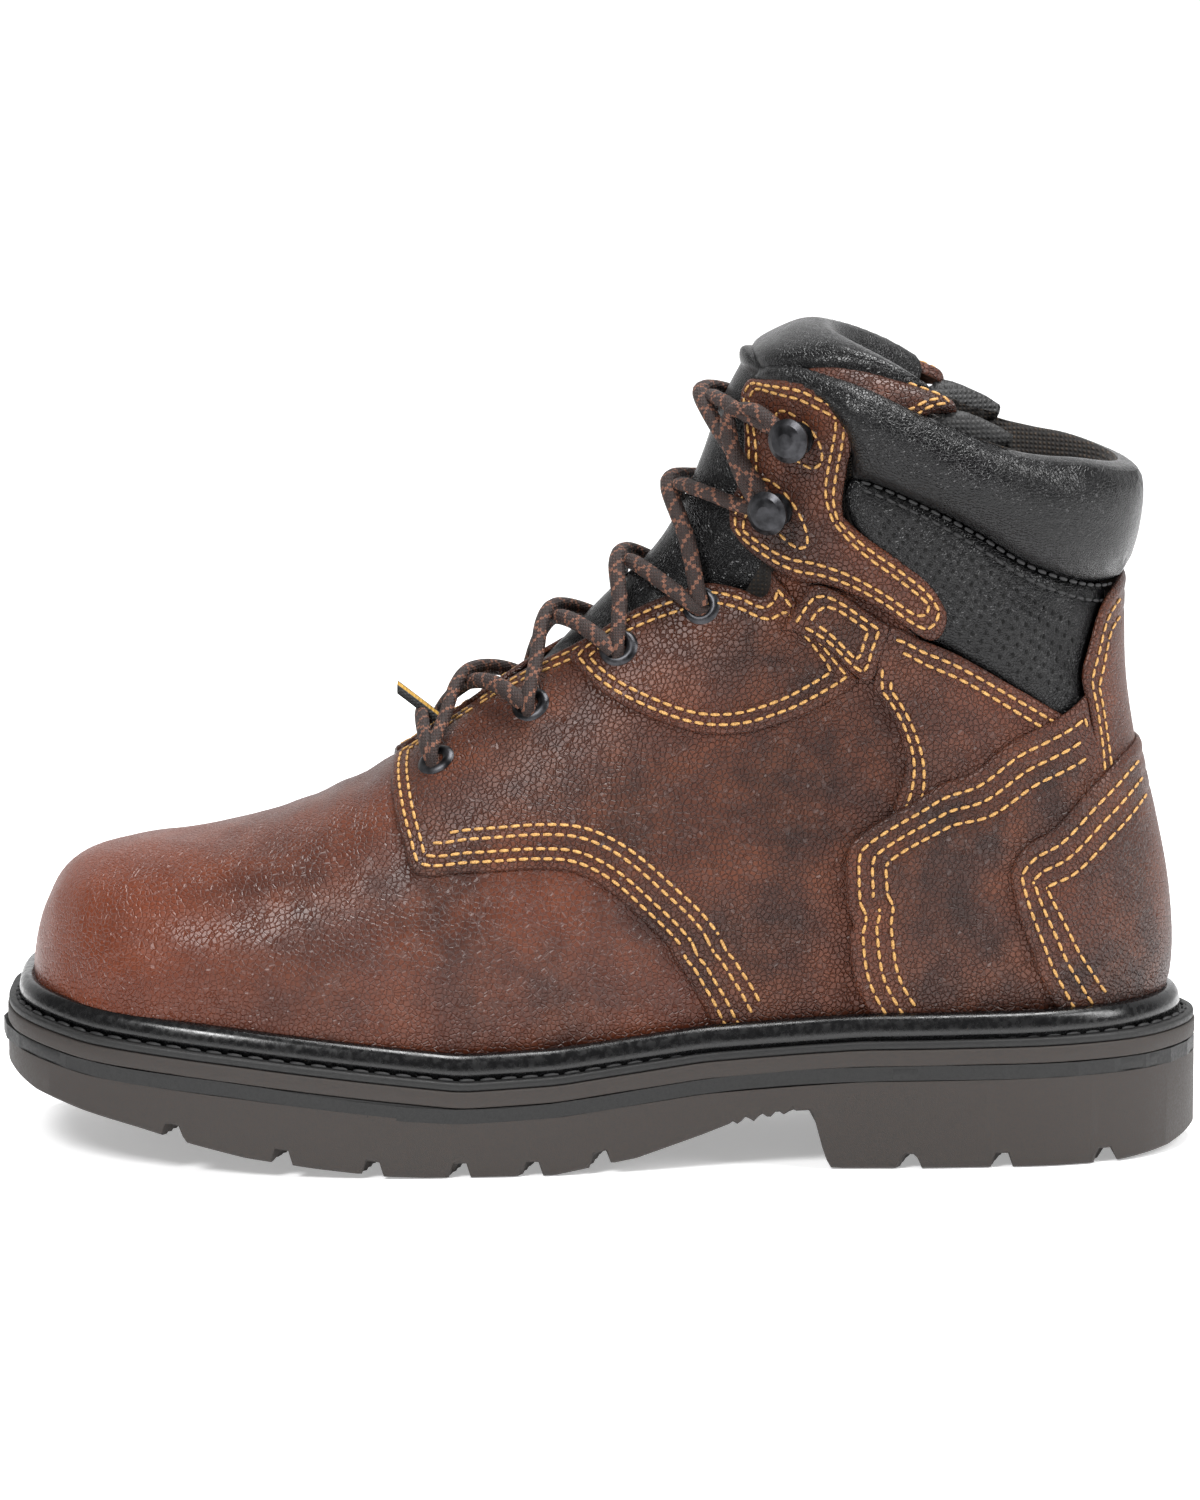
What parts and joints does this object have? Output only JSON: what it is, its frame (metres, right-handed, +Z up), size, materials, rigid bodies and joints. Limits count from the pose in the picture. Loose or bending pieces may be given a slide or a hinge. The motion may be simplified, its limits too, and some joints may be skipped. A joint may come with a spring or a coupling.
{
  "type": "work boot",
  "caption": "Ankle-high lace-up steel toe work boot, left foot, with stitched leather panels, padded collar and stacked rubber sole.",
  "frame": {"origin": "on the ground under the middle of the sole", "axes": "+X from toe to heel, -Y to the lateral side, +Z up"},
  "size_m": [0.3109, 0.1114, 0.211],
  "materials": {
    "sole_rubber": "matt brown-grey moulded rubber",
    "black_rubber": "matt black rubber",
    "bead_black": "glossy black bead",
    "welt_thread": "black waxed thread",
    "brown_leather": "dark brown oiled leather with red-brown burnish",
    "black_leather": "black padded leather",
    "perforated_leather": "black perforated leather",
    "mesh_lining": "black spacer mesh",
    "lining_leather": "tan lining",
    "board": "insole board",
    "cork": "cork filler",
    "steel": "pressed steel",
    "gunmetal": "dark gunmetal",
    "lace_cord": "dark brown braid with tan flecks",
    "foam": "padding foam",
    "tag_webbing": "woven tag"
  },
  "bodies": {
    "boot": {"outsole": "sole_rubber", "midsole_black_layer": "black_rubber", "midsole_rim": "sole_rubber", "cork_filler": "cork", "steel_shank": "steel", "welt": "black_rubber", "welt_bead": "bead_black", "welt_stitching": "welt_thread", "insole_board": "board", "vamp": "brown_leather", "steel_toe_cap": "steel", "vamp_lining": "lining_leather", "quarter_lining_lateral": "mesh_lining", "quarter_lining_medial": "mesh_lining", "interlining_lateral": "foam", "interlining_medial": "foam", "quarter_lateral": "brown_leather", "quarter_medial": "brown_leather", "eyestay_lateral": "brown_leather", "eyestay_medial": "brown_leather", "hook_facing_lateral": "brown_leather", "hook_facing_medial": "brown_leather", "ankle_panel_lateral": "brown_leather", "ankle_panel_medial": "brown_leather", "strap_patch_lateral": "brown_leather", "strap_patch_medial": "brown_leather", "heel_overlay_lateral": "brown_leather", "heel_overlay_medial": "brown_leather", "gusset_lateral": "black_leather", "gusset_medial": "black_leather", "heel_stiffener": "board", "heel_counter": "brown_leather", "back_strip": "black_leather", "collar_panel_lateral": "perforated_leather", "collar_panel_medial": "perforated_leather", "collar_foam": "foam", "collar_roll": "black_leather", "eyelets": "gunmetal", "lace_hooks": "gunmetal", "laces": "lace_cord"},
    "tongue": {"tongue": "brown_leather", "tongue_padding": "foam", "tongue_lining": "mesh_lining"},
    "footbed": {"footbed": "mesh_lining"},
    "lace_tag": {"lace_tag": "tag_webbing"}
  },
  "joints": [
    {"name": "tongue_tilt", "type": "hinge", "parent": "boot", "child": "tongue", "pos_m": [-0.045, 0, 0.098], "axis": [0, 1, 0], "range_deg": [0, 5]},
    {"name": "footbed_lift", "type": "hinge", "parent": "boot", "child": "footbed", "pos_m": [-0.136, 0.007, 0.04], "axis": [0, -1, 0], "range_deg": [0, 9]},
    {"name": "lace_tag_swing", "type": "hinge", "parent": "boot", "child": "lace_tag", "pos_m": [-0.04362, 0, 0.11604], "axis": [0, 1, 0], "range_deg": [0, 35]}
  ]
}
